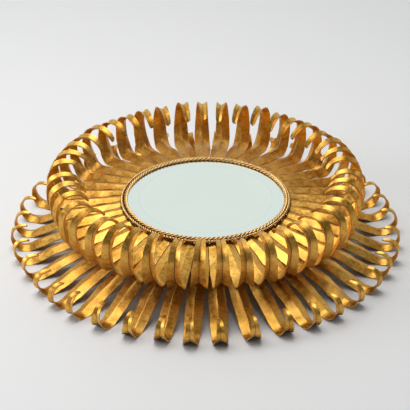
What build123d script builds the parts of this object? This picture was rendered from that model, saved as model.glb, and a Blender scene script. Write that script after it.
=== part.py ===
from build123d import *
import os
from math import ceil, cos, radians, sin, sqrt, tan

os.makedirs("parts", exist_ok=True)

# Sunburst mirror in a gilt iron frame, in millimetres. +Z comes out of the mirror's
# face and +Y is up when it hangs. The origin is in the middle of the plane that the
# lower curls touch, which is the wall behind it or the table under it.

# Clearances
seat_gap = 0.3
rivet_gap = 0.1
pin_gap = 0.2
root_cover_gap = 0.3

# Mirror plate and the discs behind it
glass_radius = 134.0
glass_thickness = 5.0
bevel_width = 19.4
bevel_drop = 1.0
arris_width = 1.6
arris_drop = 1.2
card_thickness = 1.1
board_thickness = 3.0

# Sheet band round the glass and its tabs, hung inside the hoops
band_thickness = 1.2
hoop_distance = 5.5
band_height = 16.5
clip_count = 8
clip_sheet = 0.8
clip_width = 10.0
clip_tongue = 14.0
clip_leg = 5.5

# Bezel ring and its two twisted ropes, each as the tube that the twist fills
bezel_sheet = 1.0
bezel_margin = 0.6
inner_rope_wire = 7.0
inner_rope_lap = 1.4
outer_rope_wire = 4.8

# Two hoops of flat bar on edge, and the posts that join them
hoop_bar = 3.0
upper_hoop_height = 20.0
lower_hoop_height = 19.0
post_count = 8
post_width = 12.0
post_thickness = 3.0
post_setback = 2.0
post_drop = 12.0

# Rays: creased sheet strips, brazed by the root to the tops of the hoops
ray_sheet = 1.4
tier_rise = 26.6
longest_step = 50.0
sharpest_step = 18.0
slight_turn = 20.0

# Upper rays: a flat, a sharp corner, a tall side, a round crest and a hanging tip
upper_ray_count = 43
upper_first_angle = 7.95
upper_root_setback = 1.2
upper_root_heading = -7.0
upper_flat_length = 94.3
upper_corner_radius = 13.9
upper_corner_turn = 62.0
upper_side_radius = 61.8
upper_side_turn = 38.0
upper_crest_radius = 24.4
upper_crest_turn = 87.0
upper_tip_radius = 29.6
upper_tip_turn = 62.0
upper_root_width = 19.6
upper_widest = 28.2
upper_crest_width = 20.0
upper_tip_width = 9.0
upper_root_crease = 12.0
upper_curl_crease = 30.0

# Lower rays: a long slope, a tight curl that rests on z = 0, and a narrow return
lower_ray_count = 40
lower_first_angle = 4.8
lower_root_setback = 0.2
lower_root_heading = -5.0
lower_flat_length = 53.3
lower_flat_turn = -8.0
lower_slope_length = 110.0
lower_slope_turn = -13.0
lower_curl_radius = 20.75
lower_curl_turn = 116.0
lower_crest_radius = 14.3
lower_crest_turn = 90.0
lower_tip_length = 10.0
lower_tip_turn = 12.0
lower_root_width = 20.0
lower_widest = 29.0
lower_curl_width = 15.0
lower_tip_width = 7.0
lower_root_crease = 12.0
lower_curl_crease = 20.0

# How far hand bending strays from one strip to the next
bent_shapes = 9
bent_length = 2.0
bent_size = 0.035
bent_tip = 7.0
upper_lean = 4.0
lower_lean = 6.0
upper_lean_starts = 0.4
lower_lean_starts = 0.1

# Hanger: a bar across the lower hoop, a riveted strap and a swinging ring
hanger_bar_y = 105.0
hanger_bar_width = 16.0
hanger_bar_thickness = 3.0
hanger_bar_inset = 1.0
strap_sheet = 1.0
strap_width = 12.0
strap_length = 22.0
strap_overhang = 3.0
ring_wire = 3.0
ring_width = 22.0
ring_side = 9.0
ring_corner_radius = 4.0
rivet_count = 2
rivet_spacing = 8.0
rivet_shank = 3.0
rivet_head = 6.0
rivet_head_height = 1.0


# Shape of a ray

def between(share, table):
    """Value at a share of the length, on straight lines between the table's points."""
    for (start, low), (end, high) in zip(table, table[1:]):
        if share <= end:
            return low + (high - low) * (share - start) / (end - start)
    return table[-1][1]


def arc(radius, turn):
    """Length and turn of one bend."""
    return (radius * radians(abs(turn)), turn)


def hand_bent(bends, shape):
    """The same bends as they come out by hand in one of the shapes."""
    bent = []
    for length, turn in bends:
        if abs(turn) > slight_turn:
            length *= 1 + bent_size * sin(1.7 * shape + 0.6)
        bent.append((length, turn))
    bent[0] = (bent[0][0] + bent_length * sin(2.4 * shape), bent[0][1])
    bent[-1] = (bent[-1][0], bent[-1][1] + bent_tip * sin(4.1 * shape + 1.0))
    return bent


def lean(shape, share, most, starts):
    """Sideways stray of a strip at a share of its length."""
    reach = max(0.0, share - starts) / (1 - starts)
    return most * sin(2.9 * shape + 0.4) * reach**1.5


def ray_stations(root_radius, heading, bends):
    """Radius, height, heading and length so far, from the root to the tip."""
    radius, height, travelled = root_radius, 0.0, 0.0
    stations = [(radius, height, heading, travelled)]
    for length, turn in bends:
        steps = max(1, ceil(abs(turn) / sharpest_step), ceil(length / longest_step))
        for _ in range(steps):
            half_turn = turn / steps / 2
            chord = length / steps
            if half_turn:
                chord *= sin(radians(half_turn)) / radians(half_turn)
            radius += chord * cos(radians(heading + half_turn))
            height += chord * sin(radians(heading + half_turn))
            heading += 2 * half_turn
            travelled += length / steps
            stations.append((radius, height, heading, travelled))
    return stations


def section_depths(share, widths, creases):
    """Half width, fall of the edges below the ridge, and upright sheet thickness."""
    half_width = between(share, widths) / 2
    crease = radians(between(share, creases))
    return half_width, half_width * tan(crease), ray_sheet / cos(crease)


def lowest_point(stations, widths, creases):
    """Height of a strip's lowest corner above its root's ridge."""
    heights = []
    for _, height, heading, travelled in stations:
        share = travelled / stations[-1][3]
        _, fall, sheet = section_depths(share, widths, creases)
        for depth in (0, fall, sheet, fall + sheet):
            heights.append(height - depth * cos(radians(heading)))
    return min(heights)


def root_underside(radius, root_radius, heading, root_width, crease):
    """Height of a strip's lower edges at a radius near its root, from the ridge there."""
    fall = root_width / 2 * tan(radians(crease)) + ray_sheet / cos(radians(crease))
    return (radius - root_radius) * tan(radians(heading)) - fall / cos(radians(heading))


def creased_strip(stations, widths, creases, shape, most_lean, lean_starts):
    """One ray along +X: a creased sheet lofted through its stations."""
    with BuildPart() as strip:
        for radius, height, heading, travelled in stations:
            share = travelled / stations[-1][3]
            half_width, fall, sheet = section_depths(share, widths, creases)
            sideways = lean(shape, share, most_lean, lean_starts)
            along = (cos(radians(heading)), 0, sin(radians(heading)))
            across = Plane(origin=(radius, sideways, height), x_dir=(0, 1, 0), z_dir=along)
            with BuildSketch(across):
                with BuildLine():
                    Polyline(
                        (-half_width, -fall),
                        (0, 0),
                        (half_width, -fall),
                        (half_width, -fall - sheet),
                        (0, -sheet),
                        (-half_width, -fall - sheet),
                        close=True,
                    )
                make_face()
        loft(ruled=True)
    return strip.part


upper_bends = [
    (upper_flat_length, 0.0),
    arc(upper_corner_radius, upper_corner_turn),
    arc(upper_side_radius, upper_side_turn),
    arc(upper_crest_radius, upper_crest_turn),
    arc(upper_tip_radius, upper_tip_turn),
]
upper_widths = [
    (0.0, upper_root_width),
    (0.28, upper_widest),
    (0.45, upper_widest - 0.4),
    (0.70, upper_crest_width),
    (0.93, upper_tip_width + 3.0),
    (1.0, upper_tip_width),
]
upper_creases = [(0.0, upper_root_crease), (0.46, upper_curl_crease), (1.0, upper_curl_crease)]

lower_bends = [
    (lower_flat_length, lower_flat_turn),
    (lower_slope_length, lower_slope_turn),
    arc(lower_curl_radius, lower_curl_turn),
    arc(lower_crest_radius, lower_crest_turn),
    (lower_tip_length, lower_tip_turn),
]
lower_widths = [
    (0.0, lower_root_width),
    (0.40, lower_widest),
    (0.62, lower_widest - 1.0),
    (0.83, lower_curl_width),
    (0.93, lower_tip_width + 3.0),
    (1.0, lower_tip_width),
]
lower_creases = [(0.0, lower_root_crease), (0.6, lower_curl_crease), (1.0, lower_curl_crease)]


# Radii, from the glass outwards

band_inner_radius = glass_radius + seat_gap
band_outer_radius = band_inner_radius + band_thickness
hoop_inner_radius = band_outer_radius + hoop_distance
hoop_outer_radius = hoop_inner_radius + hoop_bar
upper_root_radius = hoop_inner_radius + upper_root_setback
lower_root_radius = hoop_inner_radius + lower_root_setback
bezel_inner_radius = band_outer_radius + seat_gap
inner_rope_radius = glass_radius - inner_rope_lap + inner_rope_wire / 2
outer_rope_radius = inner_rope_radius + (inner_rope_wire + outer_rope_wire) / 2 + seat_gap
bezel_outer_radius = outer_rope_radius + outer_rope_wire / 2 + bezel_margin

# Paths of the strips in each hand-bent shape

upper_paths = []
lower_paths = []
for shape in range(bent_shapes):
    upper_bent = hand_bent(upper_bends, shape)
    upper_paths.append(ray_stations(upper_root_radius, upper_root_heading, upper_bent))
    lower_bent = hand_bent(lower_bends, shape)
    lower_paths.append(ray_stations(lower_root_radius, lower_root_heading, lower_bent))

# Heights, from the lowest curl that touches z = 0

lower_root_z = -min(lowest_point(path, lower_widths, lower_creases) for path in lower_paths)
upper_root_z = lower_root_z + tier_rise
lower_hoop_top = lower_root_z - seat_gap + root_underside(
    hoop_outer_radius, lower_root_radius, lower_root_heading, lower_root_width, lower_root_crease
)
upper_hoop_top = upper_root_z - seat_gap + root_underside(
    hoop_outer_radius, upper_root_radius, upper_root_heading, upper_root_width, upper_root_crease
)
back_rim_z = lower_hoop_top - lower_hoop_height
upper_hoop_bottom = upper_hoop_top - upper_hoop_height
bezel_bottom = upper_root_z + root_cover_gap
bezel_top = bezel_bottom + bezel_sheet
inner_rope_z = bezel_top + seat_gap + inner_rope_wire / 2
outer_rope_z = bezel_top + seat_gap + outer_rope_wire / 2
rope_to_edge = inner_rope_radius - glass_radius
glass_edge = inner_rope_z - sqrt((inner_rope_wire / 2 + seat_gap) ** 2 - rope_to_edge**2)
bevel_outer_radius = glass_radius - arris_width
bevel_inner_radius = bevel_outer_radius - bevel_width
glass_front = glass_edge + arris_drop + bevel_drop
glass_back = glass_front - glass_thickness
card_back = glass_back - seat_gap - card_thickness
board_back = card_back - seat_gap - board_thickness
clip_top = board_back - seat_gap
band_top = bezel_top
band_bottom = band_top - band_height


# Mirror plate, turned with its ground bevel and an arris under the rope

with BuildPart() as mirror_glass:
    with BuildSketch(Plane.XZ):
        with BuildLine():
            Polyline(
                (0, glass_back),
                (glass_radius, glass_back),
                (glass_radius, glass_edge),
                (bevel_outer_radius, glass_edge + arris_drop),
                (bevel_inner_radius, glass_front),
                (0, glass_front),
                close=True,
            )
        make_face()
    revolve(axis=Axis.Z)
mirror_glass.part.label = "mirror_glass"
export_step(mirror_glass.part, "parts/mirror_glass.step")


# Card packing and backing board

with BuildPart() as card_packing:
    with BuildSketch(Plane.XY.offset(card_back)):
        Circle(glass_radius)
    extrude(amount=card_thickness)
card_packing.part.label = "card_packing"
export_step(card_packing.part, "parts/card_packing.step")

with BuildPart() as backing_board:
    with BuildSketch(Plane.XY.offset(board_back)):
        Circle(glass_radius)
    extrude(amount=board_thickness)
backing_board.part.label = "backing_board"
export_step(backing_board.part, "parts/backing_board.step")


# Band round the stack, and the tabs that hold the board in it

with BuildPart() as mirror_band:
    with BuildSketch(Plane.XY.offset(band_bottom)):
        Circle(band_outer_radius)
        Circle(band_inner_radius, mode=Mode.SUBTRACT)
    extrude(amount=band_height)
mirror_band.part.label = "mirror_band"
export_step(mirror_band.part, "parts/mirror_band.step")

clip_face_radius = sqrt((band_inner_radius - seat_gap) ** 2 - (clip_width / 2) ** 2)
with BuildPart() as retaining_clips:
    with BuildSketch(Plane.XY.offset(clip_top - clip_sheet)):
        with PolarLocations(clip_face_radius, clip_count):
            Rectangle(clip_tongue, clip_width, align=(Align.MAX, Align.CENTER))
    extrude(amount=clip_sheet)
    with BuildSketch(Plane.XY.offset(clip_top - clip_leg)):
        with PolarLocations(clip_face_radius, clip_count):
            Rectangle(clip_sheet, clip_width, align=(Align.MAX, Align.CENTER))
    extrude(amount=clip_leg)
retaining_clips.part.label = "retaining_clips"
export_step(retaining_clips.part, "parts/retaining_clips.step")


# Bezel ring round the band, and the two ropes that lie on it. The inner rope laps the glass.

with BuildPart() as bezel_ring:
    with BuildSketch(Plane.XY.offset(bezel_bottom)):
        Circle(bezel_outer_radius)
        Circle(bezel_inner_radius, mode=Mode.SUBTRACT)
    extrude(amount=bezel_sheet)
bezel_ring.part.label = "bezel_ring"
export_step(bezel_ring.part, "parts/bezel_ring.step")

with BuildPart() as inner_rope:
    with BuildSketch(Plane.XZ):
        with Locations((inner_rope_radius, inner_rope_z)):
            Circle(inner_rope_wire / 2)
    revolve(axis=Axis.Z)
inner_rope.part.label = "inner_rope"
export_step(inner_rope.part, "parts/inner_rope.step")

with BuildPart() as outer_rope:
    with BuildSketch(Plane.XZ):
        with Locations((outer_rope_radius, outer_rope_z)):
            Circle(outer_rope_wire / 2)
    revolve(axis=Axis.Z)
outer_rope.part.label = "outer_rope"
export_step(outer_rope.part, "parts/outer_rope.step")


# Hoops under the roots of the two tiers

with BuildPart() as upper_hoop:
    with BuildSketch(Plane.XY.offset(upper_hoop_bottom)):
        Circle(hoop_outer_radius)
        Circle(hoop_inner_radius, mode=Mode.SUBTRACT)
    extrude(amount=upper_hoop_height)
upper_hoop.part.label = "upper_hoop"
export_step(upper_hoop.part, "parts/upper_hoop.step")

with BuildPart() as lower_hoop:
    with BuildSketch(Plane.XY.offset(back_rim_z)):
        Circle(hoop_outer_radius)
        Circle(hoop_inner_radius, mode=Mode.SUBTRACT)
    extrude(amount=lower_hoop_height)
lower_hoop.part.label = "lower_hoop"
export_step(lower_hoop.part, "parts/lower_hoop.step")


# Posts inside the hoops, from near the rear edge to partway up the upper hoop

post_bottom = back_rim_z + post_setback
post_face_radius = sqrt((hoop_inner_radius - seat_gap) ** 2 - (post_width / 2) ** 2)
with BuildPart() as hoop_posts:
    with BuildSketch(Plane.XY.offset(post_bottom)):
        with PolarLocations(post_face_radius, post_count, start_angle=180 / post_count):
            Rectangle(post_thickness, post_width, align=(Align.MAX, Align.CENTER))
    extrude(amount=upper_hoop_top - post_drop - post_bottom)
hoop_posts.part.label = "hoop_posts"
export_step(hoop_posts.part, "parts/hoop_posts.step")


# Upper rays, two neighbours to a node, with the last one alone

upper_shapes = []
for shape, path in enumerate(upper_paths):
    strip = creased_strip(path, upper_widths, upper_creases, shape, upper_lean, upper_lean_starts)
    upper_shapes.append(strip)

for first in range(0, upper_ray_count, 2):
    name = f"upper_rays_{first // 2 + 1:02d}"
    with BuildPart() as upper_rays:
        for ray in range(first, min(first + 2, upper_ray_count)):
            angle = upper_first_angle + 360 * ray / upper_ray_count
            with Locations(Location((0, 0, upper_root_z), (0, 0, angle))):
                add(upper_shapes[ray * 4 % bent_shapes], clean=False)
    upper_rays.part.label = name
    export_step(upper_rays.part, f"parts/{name}.step")


# Lower rays, two neighbours to a node

lower_shapes = []
for shape, path in enumerate(lower_paths):
    strip = creased_strip(path, lower_widths, lower_creases, shape, lower_lean, lower_lean_starts)
    lower_shapes.append(strip)

for first in range(0, lower_ray_count, 2):
    name = f"lower_rays_{first // 2 + 1:02d}"
    with BuildPart() as lower_rays:
        for ray in range(first, min(first + 2, lower_ray_count)):
            angle = lower_first_angle + 360 * ray / lower_ray_count
            with Locations(Location((0, 0, lower_root_z), (0, 0, angle))):
                add(lower_shapes[ray * 5 % bent_shapes], clean=False)
    lower_rays.part.label = name
    export_step(lower_rays.part, f"parts/{name}.step")


# Hanger bar, its ends cut to the hoop, with holes for the rivets

hanger_bar_bottom = back_rim_z + hanger_bar_inset
with BuildPart() as hanger_bar:
    with BuildSketch(Plane.XY.offset(hanger_bar_bottom)):
        with Locations((0, hanger_bar_y)):
            Rectangle(2 * hoop_inner_radius, hanger_bar_width)
        Circle(hoop_inner_radius - seat_gap, mode=Mode.INTERSECT)
        with Locations((0, hanger_bar_y)):
            with GridLocations(1, rivet_spacing, 1, rivet_count):
                Circle(rivet_shank / 2 + rivet_gap, mode=Mode.SUBTRACT)
    extrude(amount=hanger_bar_thickness)
hanger_bar.part.label = "hanger_bar"
export_step(hanger_bar.part, "parts/hanger_bar.step")


# Strap: a sheet rolled into a barrel at one end and flat under the bar

barrel_bore = ring_wire / 2 + pin_gap
barrel_radius = barrel_bore + strap_sheet
barrel_y = hanger_bar_y + hanger_bar_width / 2 + strap_overhang
strap_top = hanger_bar_bottom - pin_gap
barrel_z = strap_top - barrel_radius
with BuildPart() as ring_strap:
    with BuildSketch(Plane.YZ):
        with Locations((barrel_y, barrel_z)):
            Circle(barrel_radius)
        with Locations((barrel_y, strap_top)):
            Rectangle(strap_length, strap_sheet, align=(Align.MAX, Align.MAX))
        with Locations((barrel_y, barrel_z)):
            Circle(barrel_bore, mode=Mode.SUBTRACT)
    extrude(amount=strap_width / 2, both=True)
    with BuildSketch(Plane.XY.offset(strap_top)):
        with Locations((0, hanger_bar_y)):
            with GridLocations(1, rivet_spacing, 1, rivet_count):
                Circle(rivet_shank / 2 + rivet_gap)
    extrude(amount=-strap_sheet, mode=Mode.SUBTRACT)
ring_strap.part.label = "ring_strap"
export_step(ring_strap.part, "parts/ring_strap.step")


# Rivets through the strap and the bar, a head at each end

lower_head_top = strap_top - strap_sheet - rivet_gap
upper_head_bottom = hanger_bar_bottom + hanger_bar_thickness + rivet_gap
with BuildPart() as strap_rivets:
    with BuildSketch(Plane.XY.offset(lower_head_top - rivet_head_height)):
        with Locations((0, hanger_bar_y)):
            with GridLocations(1, rivet_spacing, 1, rivet_count):
                Circle(rivet_head / 2)
    extrude(amount=rivet_head_height)
    with BuildSketch(Plane.XY.offset(lower_head_top)):
        with Locations((0, hanger_bar_y)):
            with GridLocations(1, rivet_spacing, 1, rivet_count):
                Circle(rivet_shank / 2)
    extrude(amount=upper_head_bottom - lower_head_top)
    with BuildSketch(Plane.XY.offset(upper_head_bottom)):
        with Locations((0, hanger_bar_y)):
            with GridLocations(1, rivet_spacing, 1, rivet_count):
                Circle(rivet_head / 2)
    extrude(amount=rivet_head_height)
strap_rivets.part.label = "strap_rivets"
export_step(strap_rivets.part, "parts/strap_rivets.step")


# Hanging ring: a wire D, hanging straight down from the barrel

ring_plane = Plane(origin=(0, barrel_y, barrel_z), x_dir=(1, 0, 0), z_dir=(0, -1, 0))
wire_start = Plane(origin=(-ring_width / 2, barrel_y, barrel_z - ring_side), z_dir=(0, 0, 1))
with BuildPart() as hanging_ring:
    with BuildLine(ring_plane):
        FilletPolyline(
            (-ring_width / 2, -ring_side),
            (-ring_width / 2, 0),
            (ring_width / 2, 0),
            (ring_width / 2, -ring_side),
            radius=ring_corner_radius,
        )
        ThreePointArc(
            (ring_width / 2, -ring_side),
            (0, -ring_side - ring_width / 2),
            (-ring_width / 2, -ring_side),
        )
    with BuildSketch(wire_start):
        Circle(ring_wire / 2)
    sweep()
hanging_ring.part.label = "hanging_ring"
export_step(hanging_ring.part, "parts/hanging_ring.step")

print("lower root height", round(lower_root_z, 3))
print("back rim height", round(back_rim_z, 3))
print("glass face height", round(glass_front, 3))
print("tab end height", round(clip_top - clip_leg, 3))
print("barrel centre", round(barrel_y, 3), round(barrel_z, 3))
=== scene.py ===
import math
import random

import bpy
import numpy as np
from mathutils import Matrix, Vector


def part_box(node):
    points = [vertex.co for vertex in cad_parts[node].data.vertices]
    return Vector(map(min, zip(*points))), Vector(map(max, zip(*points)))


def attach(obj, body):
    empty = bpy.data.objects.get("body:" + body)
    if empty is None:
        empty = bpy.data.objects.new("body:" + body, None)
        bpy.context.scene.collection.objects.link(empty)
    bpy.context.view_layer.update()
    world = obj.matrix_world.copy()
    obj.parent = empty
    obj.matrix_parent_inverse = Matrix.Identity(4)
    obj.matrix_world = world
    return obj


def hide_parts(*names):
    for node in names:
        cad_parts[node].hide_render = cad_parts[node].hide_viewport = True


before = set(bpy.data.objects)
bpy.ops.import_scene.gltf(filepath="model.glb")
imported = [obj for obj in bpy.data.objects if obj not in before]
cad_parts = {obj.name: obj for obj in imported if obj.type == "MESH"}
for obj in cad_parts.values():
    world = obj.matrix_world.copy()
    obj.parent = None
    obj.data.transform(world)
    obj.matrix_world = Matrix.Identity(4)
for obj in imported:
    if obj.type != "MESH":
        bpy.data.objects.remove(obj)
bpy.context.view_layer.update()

# Table and light. The mirror lies face up on a plain pale table. A broad soft panel
# hangs over it, with one on the left and a weak one on the right. The camera looks down
# at it from the front at 31 degrees through a long lens.

photo_width_px = 410
camera_distance = 3.0
camera_elevation = math.radians(31)
lens_px = 1745
middle_height = 0.0219
middle_at_px = (205.8, 229.0)
sensor_width_mm = 36.0

look = Vector((0, math.cos(camera_elevation), -math.sin(camera_elevation)))
frame_up = Vector((0, math.sin(camera_elevation), math.cos(camera_elevation)))
middle = Vector((0, 0, middle_height))
px_to_metres = camera_distance / lens_px
aim = middle + frame_up * (middle_at_px[1] - photo_width_px / 2) * px_to_metres
aim.x -= (middle_at_px[0] - photo_width_px / 2) * px_to_metres

camera_data = bpy.data.cameras.new("camera")
camera_data.sensor_width = sensor_width_mm
camera_data.lens = sensor_width_mm * lens_px / photo_width_px
camera_data.clip_end = 30.0
camera = bpy.data.objects.new("camera", camera_data)
bpy.context.scene.collection.objects.link(camera)
camera.location = middle - look * camera_distance
camera.rotation_euler = (aim - camera.location).to_track_quat("-Z", "Y").to_euler()
bpy.context.scene.camera = camera


def soft_light(name, place, towards, size, watts, colour):
    """A rectangular light panel that faces a point."""
    panel = bpy.data.lights.new(name, "AREA")
    panel.shape = "RECTANGLE"
    panel.size, panel.size_y = size
    panel.energy = watts
    panel.color = colour
    lamp = bpy.data.objects.new(name, panel)
    lamp.location = place
    lamp.rotation_euler = (Vector(towards) - Vector(place)).to_track_quat("-Z", "Y").to_euler()
    bpy.context.scene.collection.objects.link(lamp)


soft_light("overhead_panel", (-0.4, 0.35, 2.4), (0, 0, 0), (2.0, 1.8), 42, (1.0, 0.99, 0.97))
soft_light("left_panel", (-2.3, -0.3, 1.0), (0, 0, 0.05), (1.5, 1.1), 23, (1.0, 0.99, 0.97))
soft_light("right_panel", (2.4, -0.2, 1.2), (0, 0, 0.05), (0.9, 0.8), 3, (1.0, 0.99, 0.97))

room = bpy.data.worlds.new("room")
bpy.context.scene.world = room
room.use_nodes = True
room_tree = room.node_tree
background = room_tree.nodes["Background"]
background.inputs["Strength"].default_value = 1.0
# The room is dim, with a pale wall behind the mirror for the glass to show to the front.
dim_room = (0.16, 0.16, 0.16, 1)
pale_wall = (0.80, 0.86, 0.815, 1)


def spread(tree, value, low, high, out_low=0.0, out_high=1.0):
    """A value taken from one range to another, held at the ends and eased."""
    node = tree.nodes.new("ShaderNodeMapRange")
    node.interpolation_type = "SMOOTHSTEP"
    node.inputs["From Min"].default_value = low
    node.inputs["From Max"].default_value = high
    node.inputs["To Min"].default_value = out_low
    node.inputs["To Max"].default_value = out_high
    tree.links.new(value, node.inputs["Value"])
    return node.outputs["Result"]


def put(tree, socket, value):
    """A number, a colour or another node's output put into a socket."""
    if isinstance(value, bpy.types.NodeSocket):
        tree.links.new(value, socket)
    else:
        socket.default_value = value


def maths(tree, operation, first, second):
    """Two values put together."""
    node = tree.nodes.new("ShaderNodeMath")
    node.operation = operation
    put(tree, node.inputs[0], first)
    put(tree, node.inputs[1], second)
    return node.outputs["Value"]


def laid_over(tree, share, under, over):
    """One colour laid over another by a share."""
    node = tree.nodes.new("ShaderNodeMix")
    node.data_type = "RGBA"
    put(tree, node.inputs["Factor"], share)
    under_socket, over_socket = [s for s in node.inputs if s.type == "RGBA"]
    put(tree, under_socket, under)
    put(tree, over_socket, over)
    return next(s for s in node.outputs if s.type == "RGBA")


direction = room_tree.nodes.new("ShaderNodeTexCoord").outputs["Generated"]
split = room_tree.nodes.new("ShaderNodeSeparateXYZ")
room_tree.links.new(direction, split.inputs["Vector"])
behind = spread(room_tree, split.outputs["Y"], 0.25, 0.62)
below_the_top = spread(room_tree, split.outputs["Z"], 0.60, 0.74, 1.0, 0.0)
wall = maths(room_tree, "MULTIPLY", behind, below_the_top)
room_tree.links.new(laid_over(room_tree, wall, dim_room, pale_wall), background.inputs["Color"])

table_colour = (0.82, 0.825, 0.84, 1)
table_half = 4.0
table_mesh = bpy.data.meshes.new("table")
table_corners = [(x * table_half, y * table_half, 0) for x, y in ((-1, -1), (1, -1), (1, 1), (-1, 1))]
table_mesh.from_pydata(table_corners, [], [(0, 1, 2, 3)])
table = bpy.data.objects.new("table", table_mesh)
bpy.context.scene.collection.objects.link(table)
table_finish = bpy.data.materials.new("table_paper")
table_finish.use_nodes = True
table_shader = table_finish.node_tree.nodes["Principled BSDF"]
table_shader.inputs["Base Color"].default_value = table_colour
table_shader.inputs["Roughness"].default_value = 0.85
table_mesh.materials.append(table_finish)

bpy.context.scene.view_settings.view_transform = "Standard"


# Hoops and posts. Two hoops of flat iron bar on edge, joined by eight short posts,
# carry the rays. They are hidden from the front and only brushed with dark bronze
# paint, which has gone dull and gritty.

def noise(tree, place, scale, detail=3.0, roughness=0.55):
    """Noise over a surface, its scale in features per metre."""
    node = tree.nodes.new("ShaderNodeTexNoise")
    node.inputs["Scale"].default_value = scale
    node.inputs["Detail"].default_value = detail
    node.inputs["Roughness"].default_value = roughness
    tree.links.new(place, node.inputs["Vector"])
    return node.outputs["Fac"]


def finish_node(node, material):
    """A carried-over CAD node with a better material."""
    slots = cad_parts[node].data.materials
    slots.clear()
    slots.append(material)


def painted_bar(name, colour, high_colour, rough):
    """Brushed-on bronze paint over bar, lighter where it was handled."""
    finish = bpy.data.materials.new(name)
    finish.use_nodes = True
    tree = finish.node_tree
    shader = tree.nodes["Principled BSDF"]
    place = tree.nodes.new("ShaderNodeTexCoord").outputs["Object"]
    streaks = noise(tree, place, 130.0, 6.0, 0.7)
    paint = laid_over(tree, spread(tree, streaks, 0.35, 0.7), colour, high_colour)
    tree.links.new(paint, shader.inputs["Base Color"])
    tree.links.new(spread(tree, streaks, 0.3, 0.7, rough + 0.12, rough), shader.inputs["Roughness"])
    shader.inputs["Metallic"].default_value = 0.55
    bump = tree.nodes.new("ShaderNodeBump")
    bump.inputs["Strength"].default_value = 0.6
    bump.inputs["Distance"].default_value = 0.0004
    tree.links.new(noise(tree, place, 700.0, 3.0, 0.6), bump.inputs["Height"])
    tree.links.new(bump.outputs["Normal"], shader.inputs["Normal"])
    return finish


bronze_paint = painted_bar("bronze_paint", (0.13, 0.07, 0.03, 1), (0.34, 0.21, 0.08, 1), 0.5)
for node in ("lower_hoop", "upper_hoop", "hoop_posts"):
    finish_node(node, bronze_paint)


# Lower rays. Forty long strips of sheet iron, creased down the middle and brazed by
# the root to the lower hoop. Each slopes down to the table, then curls up and back
# over itself to a narrow tip. They were bent by hand, so no two are quite alike.

def gilding_group():
    """Gold leaf over a red-brown ground, from the place on the metal.

    It is mottled where its sheets overlap, dimmed by old umber glaze and by painted shade
    passed in with the grime, speckled with fly spots, and rubbed through to a coppery
    ground on crests and edges.
    """
    group = bpy.data.node_groups.new("aged_gilding", "ShaderNodeTree")
    for title, kind in (("Place", "NodeSocketVector"), ("Leaf", "NodeSocketColor"),
                        ("Deep Leaf", "NodeSocketColor"), ("Glaze And Shade", "NodeSocketColor"),
                        ("Ground", "NodeSocketColor"), ("Rub", "NodeSocketFloat"),
                        ("Grime And Shade", "NodeSocketFloat"), ("Base Roughness", "NodeSocketFloat")):
        group.interface.new_socket(title, in_out="INPUT", socket_type=kind)
    for title, kind in (("Colour", "NodeSocketColor"), ("Roughness", "NodeSocketFloat"),
                        ("Metal", "NodeSocketFloat"), ("Height", "NodeSocketFloat")):
        group.interface.new_socket(title, in_out="OUTPUT", socket_type=kind)
    given = group.nodes.new("NodeGroupInput").outputs
    result = group.nodes.new("NodeGroupOutput").inputs
    place = given["Place"]

    sheets = noise(group, place, 26.0, 2.0)
    mottle = noise(group, place, 190.0, 5.0, 0.65)
    grain = noise(group, place, 620.0, 3.0, 0.6)
    patches = noise(group, place, 42.0, 4.0, 0.7)
    spots = noise(group, place, 420.0, 2.0, 0.5)

    tone = maths(group, "ADD", maths(group, "MULTIPLY", sheets, 0.35), maths(group, "MULTIPLY", mottle, 0.65))
    leaf = laid_over(group, spread(group, tone, 0.37, 0.61), given["Deep Leaf"], given["Leaf"])

    # Real umber glaze where the mottle is high, plus painted shade passed in with the grime.
    share_of_glaze_and_shade = spread(group, maths(group, "ADD", mottle, given["Grime And Shade"]), 0.56, 1.05)
    glazed_and_shaded = laid_over(group, share_of_glaze_and_shade, leaf, given["Glaze And Shade"])
    spot_share = maths(group, "MULTIPLY", spread(group, spots, 0.66, 0.74), 0.55)
    spotted = laid_over(group, spot_share, glazed_and_shaded, given["Glaze And Shade"])

    rub_share = spread(group, maths(group, "ADD", patches, given["Rub"]), 0.70, 0.92)
    result_colour = laid_over(group, rub_share, spotted, given["Ground"])
    group.links.new(result_colour, result["Colour"])

    rough = maths(group, "ADD", given["Base Roughness"], spread(group, mottle, 0.35, 0.7, -0.05, 0.13))
    rough = maths(group, "ADD", rough, maths(group, "MULTIPLY", rub_share, 0.16))
    rough = maths(group, "ADD", rough, maths(group, "MULTIPLY", share_of_glaze_and_shade, 0.12))
    group.links.new(rough, result["Roughness"])
    metal = maths(group, "SUBTRACT", 1.0, maths(group, "MULTIPLY", rub_share, 0.35))
    metal = maths(group, "SUBTRACT", metal, maths(group, "MULTIPLY", share_of_glaze_and_shade, 0.3))
    group.links.new(metal, result["Metal"])

    dents = maths(group, "MULTIPLY", noise(group, place, 75.0, 1.0), 0.7)
    leaf_height = maths(group, "ADD", dents, maths(group, "MULTIPLY", mottle, 0.22))
    group.links.new(maths(group, "ADD", leaf_height, maths(group, "MULTIPLY", grain, 0.08)), result["Height"])
    return group


gilding = gilding_group()
# Reach of the painted shade laid on near other surfaces.
nook_reach = 0.022
leaf_gold = (0.88, 0.51, 0.118, 1)
deep_leaf_gold = (0.56, 0.272, 0.032, 1)
umber_for_glaze_and_shade = (0.10, 0.04, 0.008, 1)
coppery_ground = (0.60, 0.30, 0.13, 1)


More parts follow.
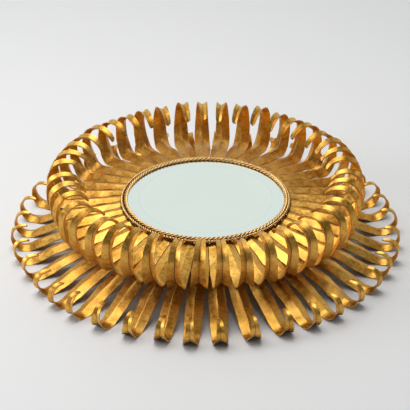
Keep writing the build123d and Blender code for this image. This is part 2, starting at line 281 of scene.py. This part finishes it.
def gilded(name, leaf=leaf_gold, deep=deep_leaf_gold, rub=0.0, grime=0.0, rough=0.37, dent_depth=0.0008,
           edge_rub=0.0, fold_shade=0.0, nook_shade_depth=0.55, reach=nook_reach):
    """Gilded iron, darkened with umber as painted shade where other surfaces are near.
    A piece with an across attribute gets its edges rubbed and painted shade along its fold.
    """
    finish = bpy.data.materials.new(name)
    finish.use_nodes = True
    tree = finish.node_tree
    shader = tree.nodes["Principled BSDF"]
    place = tree.nodes.new("ShaderNodeTexCoord").outputs["Object"]
    leafed = tree.nodes.new("ShaderNodeGroup")
    leafed.node_tree = gilding
    tree.links.new(place, leafed.inputs["Place"])
    leafed.inputs["Leaf"].default_value = leaf
    leafed.inputs["Deep Leaf"].default_value = deep
    leafed.inputs["Glaze And Shade"].default_value = umber_for_glaze_and_shade
    leafed.inputs["Ground"].default_value = coppery_ground
    leafed.inputs["Base Roughness"].default_value = rough
    leafed.inputs["Rub"].default_value = rub
    # Painted shade: umber laid on where other surfaces are near, as in the curls, between the rays and under
    # the upper tier.
    nook = tree.nodes.new("ShaderNodeAmbientOcclusion")
    nook.samples = 8
    nook.inputs["Distance"].default_value = reach
    painted_nook_shade = spread(tree, nook.outputs["AO"], 0.25, 0.85, nook_shade_depth, 0.0)
    grime_and_shade = maths(tree, "ADD", painted_nook_shade, grime)
    if edge_rub or fold_shade:
        across = tree.nodes.new("ShaderNodeAttribute")
        across.attribute_name = "across"
        off_ridge = maths(tree, "ABSOLUTE", across.outputs["Fac"], 0.0)
        underside = tree.nodes.new("ShaderNodeAttribute")
        underside.attribute_name = "underside"
        at_edge = spread(tree, off_ridge, 0.90, 1.0, rub, rub + edge_rub)
        on_ridge = spread(tree, off_ridge, 0.0, 0.07, edge_rub * 0.7, 0.0)
        on_ridge = maths(tree, "MULTIPLY", on_ridge, maths(tree, "SUBTRACT", 1.0, underside.outputs["Fac"]))
        tree.links.new(maths(tree, "ADD", at_edge, on_ridge), leafed.inputs["Rub"])
        # Painted shade along the fold, on the underside of the sheet.
        fold_valley_shade = spread(tree, off_ridge, 0.0, 0.14, fold_shade, 0.0)
        shaded_fold_and_grime = maths(tree, "ADD", maths(tree, "MULTIPLY", fold_valley_shade, underside.outputs["Fac"]), grime)
        grime_and_shade = maths(tree, "ADD", painted_nook_shade, shaded_fold_and_grime)
    tree.links.new(grime_and_shade, leafed.inputs["Grime And Shade"])
    bump = tree.nodes.new("ShaderNodeBump")
    bump.inputs["Strength"].default_value = 1.0
    bump.inputs["Distance"].default_value = dent_depth
    tree.links.new(leafed.outputs["Height"], bump.inputs["Height"])
    tree.links.new(bump.outputs["Normal"], shader.inputs["Normal"])
    tree.links.new(leafed.outputs["Colour"], shader.inputs["Base Color"])
    tree.links.new(leafed.outputs["Roughness"], shader.inputs["Roughness"])
    tree.links.new(leafed.outputs["Metal"], shader.inputs["Metallic"])
    return finish


sheet_thickness = 0.0014
ray_step = 0.0030
bend_easing = 0.006
across_points = (-1.0, -0.93, -0.66, -0.36, -0.05, 0.0, 0.05, 0.36, 0.66, 0.93, 1.0)
crease_softness = 0.012
tip_rounding = 0.006
bent_shapes = 9
edge_waver = 0.022
crease_waver = 2.5
most_twist = math.radians(2.2)
ridge_stray = 0.05
dish_depth = 0.012
rim = 0.00028
off_the_table = 0.00005


def arc(radius_mm, turn):
    """Length in metres and turn in degrees of one bend."""
    return (radius_mm / 1000 * math.radians(abs(turn)), turn)


def hand_bent(bends, shape):
    """The same bends as they come out by hand in one of the nine shapes."""
    bent = []
    for length, turn in bends:
        if abs(turn) > 20:
            length *= 1 + 0.035 * math.sin(1.7 * shape + 0.6)
        bent.append((length, turn))
    bent[0] = (bent[0][0] + 0.002 * math.sin(2.4 * shape), bent[0][1])
    bent[-1] = (bent[-1][0], bent[-1][1] + 7.0 * math.sin(4.1 * shape + 1.0))
    return bent


def centre_line(root_radius, root_height, heading, bends):
    """Radius, height, heading and share of the length along a strip's ridge."""
    fine = 0.0005
    turning = []
    for length, turn in bends:
        steps = max(1, round(length / fine))
        turning += [math.radians(turn) / length] * steps
    turning = np.array(turning)
    reach = round(bend_easing / fine)
    padded = np.concatenate([np.full(reach, turning[0]), turning, np.full(reach, turning[-1])])
    window = np.hanning(2 * reach + 1)
    eased = np.convolve(padded, window / window.sum(), "valid")
    headings = math.radians(heading) + np.concatenate([[0], np.cumsum(eased) * fine])
    middles = (headings[1:] + headings[:-1]) / 2
    radii = root_radius + np.concatenate([[0], np.cumsum(np.cos(middles)) * fine])
    heights = root_height + np.concatenate([[0], np.cumsum(np.sin(middles)) * fine])
    count = round(len(turning) * fine / ray_step)
    picks = np.linspace(0, len(turning), count + 1).round().astype(int)
    return radii[picks], heights[picks], headings[picks], picks / len(turning), len(turning) * fine


def wobble(rng, travelled, wavelengths):
    """A smooth wander of size about one along a strip."""
    total = np.zeros_like(travelled)
    for wavelength in wavelengths:
        total += np.sin(travelled * 2 * math.pi / wavelength + rng.uniform(0, 2 * math.pi))
    return total / len(wavelengths)


def strip_mesh(name, line, widths, creases, lean, angle, rng):
    """One creased strip: a ring of points round the sheet at each step along its line."""
    radii, heights, headings, shares, length = line
    travelled = shares * length
    half_widths = np.interp(shares, *zip(*widths)) / 2000
    half_widths *= 1 + edge_waver * wobble(rng, travelled, (0.047, 0.023, 0.013))
    crease_angles = np.interp(shares, *zip(*creases)) + crease_waver * wobble(rng, travelled, (0.06, 0.031))
    tip_left = np.clip((length - travelled) / tip_rounding, 0.0, 1.0)
    half_widths *= 0.35 + 0.65 * np.sqrt(1 - (1 - tip_left) ** 2)
    falls = half_widths * np.tan(np.radians(crease_angles))
    drops = sheet_thickness / np.cos(np.radians(crease_angles))
    twists = most_twist * wobble(rng, travelled, (0.17, 0.09)) * np.clip(shares * 4 - 0.4, 0, 1)
    ridge_strays = ridge_stray * wobble(rng, travelled, (0.08, 0.035))
    rise = np.clip(shares - lean[1], 0, 1) / (1 - lean[1])
    sideways = lean[0] * rise**1.5

    across = np.array(across_points)
    soft = (np.sqrt(across**2 + crease_softness**2) - crease_softness)
    soft /= math.sqrt(1 + crease_softness**2) - crease_softness
    dish = dish_depth * (1 - (2 * np.abs(across) - 1) ** 2)

    tops_x = np.outer(half_widths, across) + np.outer(half_widths * ridge_strays, 1 - np.abs(across))
    tops_y = -np.outer(falls, soft) - np.outer(half_widths, dish)
    under_x, under_y = tops_x[:, ::-1], tops_y[:, ::-1] - drops[:, None]
    right_x, right_y = tops_x[:, -1:] + rim, tops_y[:, -1:] - drops[:, None] / 2
    left_x, left_y = tops_x[:, :1] - rim, tops_y[:, :1] - drops[:, None] / 2
    ring_x = np.hstack([tops_x, right_x, under_x, left_x])
    ring_y = np.hstack([tops_y, right_y, under_y, left_y])
    ring_across = np.concatenate([across, [1.02], across[::-1], [-1.02]])

    cos_twist, sin_twist = np.cos(twists)[:, None], np.sin(twists)[:, None]
    ring_x, ring_y = ring_x * cos_twist - ring_y * sin_twist, ring_x * sin_twist + ring_y * cos_twist
    out = radii[:, None] - np.sin(headings)[:, None] * ring_y
    up = heights[:, None] + np.cos(headings)[:, None] * ring_y
    up = np.maximum(up, off_the_table)
    side = ring_x + sideways[:, None]
    turn = math.radians(angle)
    points = np.stack([out * math.cos(turn) - side * math.sin(turn),
                       out * math.sin(turn) + side * math.cos(turn), up], axis=-1)

    rings, around = ring_x.shape
    faces = []
    for ring in range(rings - 1):
        for k in range(around):
            a, b = ring * around + k, ring * around + (k + 1) % around
            faces.append((a, a + around, b + around, b))
    half = len(across_points)
    for start, flip in ((0, False), ((rings - 1) * around, True)):
        for k in range(half - 1):
            quad = (start + k, start + k + 1, start + 2 * half - 1 - k, start + 2 * half - k)
            faces.append(quad[::-1] if flip else quad)
        right = (start + half - 1, start + half, start + half + 1)
        left = (start, start + 2 * half, start + 2 * half + 1)
        faces.append(right[::-1] if flip else right)
        faces.append(left if flip else left[::-1])
    mesh = bpy.data.meshes.new(name)
    mesh.from_pydata(points.reshape(-1, 3).tolist(), [], faces)
    mesh.validate()
    attribute = mesh.attributes.new("across", "FLOAT", "POINT")
    attribute.data.foreach_set("value", np.tile(ring_across, rings).astype(np.float32))
    underside = np.zeros(around, np.float32)
    underside[len(across_points) + 1:-1] = 1.0
    attribute = mesh.attributes.new("underside", "FLOAT", "POINT")
    attribute.data.foreach_set("value", np.tile(underside, rings))
    mesh.polygons.foreach_set("use_smooth", [True] * len(mesh.polygons))
    rims = {0, half - 1, half + 1, 2 * half}
    keys = np.zeros(len(mesh.edges) * 2, int)
    mesh.edges.foreach_get("vertices", keys)
    keys = keys.reshape(-1, 2)
    same_line = (keys[:, 0] % around) == (keys[:, 1] % around)
    on_rim = np.isin(keys[:, 0] % around, list(rims)) & same_line
    mesh.edges.foreach_set("use_edge_sharp", on_rim)
    return mesh


def curled_ray(name, mesh, material, node):
    """A finished ray on the frame, in place of its CAD strip."""
    mesh.materials.append(material)
    ray = bpy.data.objects.new(name, mesh)
    bpy.context.scene.collection.objects.link(ray)
    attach(ray, "frame")
    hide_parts(node)


lower_count = 40
lower_first_angle = 4.8
lower_root_radius = 0.1412
lower_root_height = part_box("lower_hoop")[1].z + 0.004115
lower_bends = [(0.0533, -8.0), (0.110, -13.0), arc(20.75, 116.0), arc(14.3, 90.0), (0.010, 12.0)]
lower_widths = [(0.0, 20.0), (0.40, 29.0), (0.62, 28.0), (0.76, 24.5), (0.86, 15.0), (0.94, 10.0), (1.0, 7.0)]
lower_creases = [(0.0, 12.0), (0.6, 20.0), (1.0, 20.0)]
# Painted shade on these rays: along the fold underneath, and near other surfaces.
lower_gilding = gilded("lower_ray_gilding", rub=0.02, grime=0.0, edge_rub=0.22, fold_shade=0.4)

for ray in range(lower_count):
    shape = ray * 5 % bent_shapes
    rng = random.Random(400 + ray)
    line = centre_line(lower_root_radius, lower_root_height, -5.0, hand_bent(lower_bends, shape))
    lean = (0.006 * math.sin(2.9 * shape + 0.4), 0.1)
    name = f"lower_ray_{ray + 1:02d}"
    mesh = strip_mesh(name, line, lower_widths, lower_creases, lean, lower_first_angle + 9 * ray, rng)
    curled_ray(name, mesh, lower_gilding, f"lower_rays_{ray // 2 + 1:02d}")


# Upper rays. Forty-three strips brazed side by side to the upper hoop. They lie
# almost edge to edge as a fluted collar round the glass, turn up sharply at the rim,
# and roll back towards the glass in an open C, their edges flared by the bending.

upper_count = 43
upper_first_angle = 7.95
upper_root_radius = 0.1422
upper_root_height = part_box("upper_hoop")[1].z + 0.004062
upper_bends = [(0.0943, 0.0), arc(13.9, 62.0), arc(61.8, 38.0), arc(24.4, 87.0), arc(29.6, 62.0)]
upper_widths = [(0.0, 19.6), (0.28, 28.2), (0.45, 27.8), (0.70, 20.0), (0.93, 12.0), (1.0, 9.0)]
upper_creases = [(0.0, 12.0), (0.38, 27.0), (0.47, 37.0), (0.62, 34.0), (1.0, 30.0)]
# Painted shade on these rays: along the fold underneath, and near other surfaces.
upper_gilding = gilded("upper_ray_gilding", rub=0.03, grime=0.0, edge_rub=0.24, fold_shade=0.4)

for ray in range(upper_count):
    shape = ray * 4 % bent_shapes
    rng = random.Random(900 + ray)
    line = centre_line(upper_root_radius, upper_root_height, -7.0, hand_bent(upper_bends, shape))
    lean = (0.004 * math.sin(2.9 * shape + 0.4), 0.4)
    name = f"upper_ray_{ray + 1:02d}"
    angle = upper_first_angle + 360 * ray / upper_count
    mesh = strip_mesh(name, line, upper_widths, upper_creases, lean, angle, rng)
    curled_ray(name, mesh, upper_gilding, f"upper_rays_{ray // 2 + 1:02d}")


# Cup behind the glass. A rolled sheet band holds a card disc and a hardboard back
# against the glass, and eight cut steel tabs are bent over to keep them in.

band_gilt = gilded("band_gilding", leaf=(0.55, 0.36, 0.13, 1), deep=(0.36, 0.21, 0.07, 1),
                   grime=0.18, rough=0.48)
finish_node("mirror_band", band_gilt)


def fibre_board(name, light, dark, scale, depth):
    """Pressed fibre: flecked colour and a fine rough tooth."""
    finish = bpy.data.materials.new(name)
    finish.use_nodes = True
    tree = finish.node_tree
    shader = tree.nodes["Principled BSDF"]
    place = tree.nodes.new("ShaderNodeTexCoord").outputs["Object"]
    flecks = noise(tree, place, scale, 6.0, 0.75)
    stains = noise(tree, place, 12.0, 3.0)
    tone = maths(tree, "ADD", maths(tree, "MULTIPLY", flecks, 0.7), maths(tree, "MULTIPLY", stains, 0.3))
    tree.links.new(laid_over(tree, spread(tree, tone, 0.35, 0.65), dark, light), shader.inputs["Base Color"])
    shader.inputs["Roughness"].default_value = 0.86
    bump = tree.nodes.new("ShaderNodeBump")
    bump.inputs["Distance"].default_value = depth
    tree.links.new(flecks, bump.inputs["Height"])
    tree.links.new(bump.outputs["Normal"], shader.inputs["Normal"])
    return finish


hardboard = fibre_board("hardboard", (0.30, 0.17, 0.085, 1), (0.14, 0.075, 0.035, 1), 520.0, 0.0006)
finish_node("backing_board", hardboard)
grey_card = fibre_board("grey_card", (0.44, 0.36, 0.26, 1), (0.30, 0.24, 0.17, 1), 900.0, 0.0002)
finish_node("card_packing", grey_card)


def worked_metal(name, colour, dull, rough, scale):
    """Bare worked metal with dull blooms and fine scratches."""
    finish = bpy.data.materials.new(name)
    finish.use_nodes = True
    tree = finish.node_tree
    shader = tree.nodes["Principled BSDF"]
    place = tree.nodes.new("ShaderNodeTexCoord").outputs["Object"]
    bloom = noise(tree, place, scale, 5.0, 0.65)
    bloomed = laid_over(tree, spread(tree, bloom, 0.42, 0.68), colour, dull)
    tree.links.new(bloomed, shader.inputs["Base Color"])
    tree.links.new(spread(tree, bloom, 0.35, 0.7, rough, rough + 0.22), shader.inputs["Roughness"])
    shader.inputs["Metallic"].default_value = 1.0
    bump = tree.nodes.new("ShaderNodeBump")
    bump.inputs["Distance"].default_value = 0.00015
    tree.links.new(noise(tree, place, 1600.0, 2.0), bump.inputs["Height"])
    tree.links.new(bump.outputs["Normal"], shader.inputs["Normal"])
    return finish


tab_steel = worked_metal("tab_steel", (0.50, 0.49, 0.47, 1), (0.24, 0.19, 0.15, 1), 0.34, 260.0)
finish_node("retaining_clips", tab_steel)


# Mirror plate. Five millimetre plate glass, silvered behind, with a wide shallow
# bevel ground and polished all round. Its faint green shows in what it reflects.

bevel_start = 0.1130
mirror_silver = bpy.data.materials.new("silvered_glass")
mirror_silver.use_nodes = True
mirror_tree = mirror_silver.node_tree
mirror_shader = mirror_tree.nodes["Principled BSDF"]
mirror_place = mirror_tree.nodes.new("ShaderNodeTexCoord").outputs["Object"]
mirror_haze = noise(mirror_tree, mirror_place, 9.0, 4.0)
mirror_clear, mirror_dim = (0.865, 0.905, 0.885, 1), (0.845, 0.885, 0.868, 1)
bevel_tone, ground_line = (0.848, 0.888, 0.886, 1), (0.78, 0.82, 0.82, 1)
flat_place = mirror_tree.nodes.new("ShaderNodeVectorMath")
flat_place.operation = "MULTIPLY"
flat_place.inputs[1].default_value = (1, 1, 0)
mirror_tree.links.new(mirror_place, flat_place.inputs[0])
from_middle = mirror_tree.nodes.new("ShaderNodeVectorMath")
from_middle.operation = "LENGTH"
mirror_tree.links.new(flat_place.outputs["Vector"], from_middle.inputs[0])
radius = from_middle.outputs["Value"]
on_bevel = spread(mirror_tree, radius, bevel_start - 0.0004, bevel_start + 0.0004)
off_line = maths(mirror_tree, "ABSOLUTE", maths(mirror_tree, "SUBTRACT", radius, bevel_start), 0.0)
line_share = spread(mirror_tree, off_line, 0.0003, 0.0018, 0.5, 0.0)
mirror_colour = laid_over(mirror_tree, spread(mirror_tree, mirror_haze, 0.3, 0.7), mirror_clear, mirror_dim)
mirror_colour = laid_over(mirror_tree, on_bevel, mirror_colour, bevel_tone)
mirror_colour = laid_over(mirror_tree, line_share, mirror_colour, ground_line)
mirror_tree.links.new(mirror_colour, mirror_shader.inputs["Base Color"])
mirror_roughness = spread(mirror_tree, mirror_haze, 0.4, 0.8, 0.015, 0.035)
mirror_tree.links.new(mirror_roughness, mirror_shader.inputs["Roughness"])
mirror_shader.inputs["Metallic"].default_value = 1.0

# For the look only, the bevel is shaded as if it leaned a little inwards. Shaded at its
# true slope it shows the tips of the rear curls. The flat glass keeps its own normal.
straight_up = mirror_tree.nodes.new("ShaderNodeVectorTransform")
straight_up.vector_type = "NORMAL"
straight_up.convert_from, straight_up.convert_to = "OBJECT", "WORLD"
straight_up.inputs["Vector"].default_value = (0, 0, 1)
silver_normal = mirror_tree.nodes.new("ShaderNodeMix")
silver_normal.data_type = "VECTOR"
silver_normal.clamp_factor = False
silver_normal.inputs["Factor"].default_value = 1.6
normal_under, normal_over = [s for s in silver_normal.inputs if s.type == "VECTOR" and s.enabled][-2:]
surface_normal = mirror_tree.nodes.new("ShaderNodeNewGeometry").outputs["Normal"]
mirror_tree.links.new(surface_normal, normal_under)
mirror_tree.links.new(straight_up.outputs["Vector"], normal_over)
mixed_normal = next(s for s in silver_normal.outputs if s.type == "VECTOR")
mirror_tree.links.new(mixed_normal, mirror_shader.inputs["Normal"])
finish_node("mirror_glass", mirror_silver)


# Bezel and rope trim. A flat gilt ring lies round the band on the roots of the rays.
# On it lie two ropes of twisted iron wire of opposite lay, the thicker one lapping the
# edge of the glass, both tacked down with brazing.

bezel_gilding = gilded("bezel_gilding", leaf=(0.62, 0.40, 0.15, 1), deep=(0.40, 0.23, 0.07, 1),
                       grime=0.2, rough=0.45)
finish_node("bezel_ring", bezel_gilding)
# Painted shade in the grooves between the strands, where they lie close.
rope_gilding = gilded("rope_gilding", leaf=(0.90, 0.62, 0.27, 1), deep=(0.70, 0.40, 0.14, 1),
                      rub=0.08, grime=-0.04, rough=0.36, dent_depth=0.0003,
                      nook_shade_depth=0.75, reach=0.0035)


strand_fatness = 1.06


def twisted_rope(name, node, strands, turns, lay, steps_per_turn, sides):
    """Wires wound round each other along a ring, inside the tube that the CAD node fills."""
    low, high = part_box(node)
    wire_radius = (high.z - low.z) / 2
    ring_radius = high.x - wire_radius
    middle_z = (low.z + high.z) / 2
    ratio = 1 / math.sin(math.pi / strands)
    strand_radius = wire_radius / (1 + ratio)
    helix_radius = wire_radius - strand_radius
    steps = turns * steps_per_turn
    points, faces = [], []
    for strand in range(strands):
        along = np.arange(steps) * 2 * math.pi / steps
        phase = lay * turns * along + strand * 2 * math.pi / strands
        outward = np.stack([np.cos(along), np.sin(along), np.zeros(steps)], -1)
        upward = np.tile([0.0, 0.0, 1.0], (steps, 1))
        centre = outward * (ring_radius + helix_radius * np.cos(phase))[:, None]
        centre[:, 2] = middle_z + helix_radius * np.sin(phase)
        tangent = np.roll(centre, -1, 0) - np.roll(centre, 1, 0)
        tangent /= np.linalg.norm(tangent, axis=1)[:, None]
        first = upward - tangent * (upward * tangent).sum(1)[:, None]
        first /= np.linalg.norm(first, axis=1)[:, None]
        second = np.cross(tangent, first)
        for side in range(sides):
            turn = 2 * math.pi * side / sides
            outwards = first * math.cos(turn) + second * math.sin(turn)
            points.append(centre + outwards * strand_radius * strand_fatness)
        for step in range(steps):
            after = (step + 1) % steps
            for side in range(sides):
                beside = (side + 1) % sides
                faces.append((strand * sides * steps + side * steps + step,
                              strand * sides * steps + beside * steps + step,
                              strand * sides * steps + beside * steps + after,
                              strand * sides * steps + side * steps + after))
    mesh = bpy.data.meshes.new(name)
    mesh.from_pydata(np.concatenate(points).tolist(), [], faces)
    mesh.polygons.foreach_set("use_smooth", [True] * len(mesh.polygons))
    mesh.materials.append(rope_gilding)
    rope = bpy.data.objects.new(name, mesh)
    bpy.context.scene.collection.objects.link(rope)
    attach(rope, "frame")
    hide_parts(node)


twisted_rope("inner_twisted_rope", "inner_rope", 3, 37, 1, 24, 8)
twisted_rope("outer_twisted_rope", "outer_rope", 2, 81, -1, 14, 6)

tack_count = upper_count
tack_missing = 0.25
tack_rows, tack_sides = 6, 8
rng = random.Random(77)
tack_points, tack_faces = [], []
for tack in range(tack_count):
    if rng.random() < tack_missing:
        continue
    turn = math.radians(upper_first_angle + 360 * (tack + 0.5) / tack_count + rng.uniform(-1.4, 1.4))
    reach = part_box("outer_rope")[1].x + rng.uniform(-0.0004, 0.0006)
    rest_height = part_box("outer_rope")[0].z + rng.uniform(0.0006, 0.0014)
    sizes = [rng.uniform(0.0011, 0.0019) for _ in range(3)]
    start = len(tack_points)
    for row in range(tack_rows):
        tilt = math.pi * (row + 0.5) / tack_rows
        for side in range(tack_sides):
            spin = 2 * math.pi * side / tack_sides
            lump = 1 + rng.uniform(-0.12, 0.12)
            out = reach + sizes[0] * lump * math.sin(tilt) * math.cos(spin)
            along = sizes[1] * lump * math.sin(tilt) * math.sin(spin)
            tack_points.append((out * math.cos(turn) - along * math.sin(turn),
                                out * math.sin(turn) + along * math.cos(turn),
                                rest_height + sizes[2] * lump * math.cos(tilt)))
    for row in range(tack_rows - 1):
        for side in range(tack_sides):
            beside = (side + 1) % tack_sides
            a, b = start + row * tack_sides + side, start + row * tack_sides + beside
            tack_faces.append((a, a + tack_sides, b + tack_sides, b))
    tack_faces.append(tuple(start + side for side in range(tack_sides)))
    last_row = start + (tack_rows - 1) * tack_sides
    tack_faces.append(tuple(last_row + side for side in reversed(range(tack_sides))))
tack_mesh = bpy.data.meshes.new("braze_tacks")
tack_mesh.from_pydata(tack_points, [], tack_faces)
tack_mesh.polygons.foreach_set("use_smooth", [True] * len(tack_mesh.polygons))
# A little painted shade where the tacks sit against the rope.
tack_gilding = gilded("tack_gilding", leaf=(0.93, 0.66, 0.30, 1), deep=(0.72, 0.42, 0.15, 1),
                      rough=0.3, nook_shade_depth=0.25)
tack_mesh.materials.append(tack_gilding)
tacks = bpy.data.objects.new("braze_tacks", tack_mesh)
bpy.context.scene.collection.objects.link(tacks)
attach(tacks, "frame")


# Hanger. A bar of the same bronzed iron crosses the lower hoop near the top, and a
# brass strap riveted under it holds the ring that the mirror hangs from.

finish_node("hanger_bar", bronze_paint)
hanger_brass = worked_metal("hanger_brass", (0.70, 0.50, 0.20, 1), (0.32, 0.21, 0.09, 1), 0.3, 320.0)
for node in ("ring_strap", "strap_rivets", "hanging_ring"):
    finish_node(node, hanger_brass)
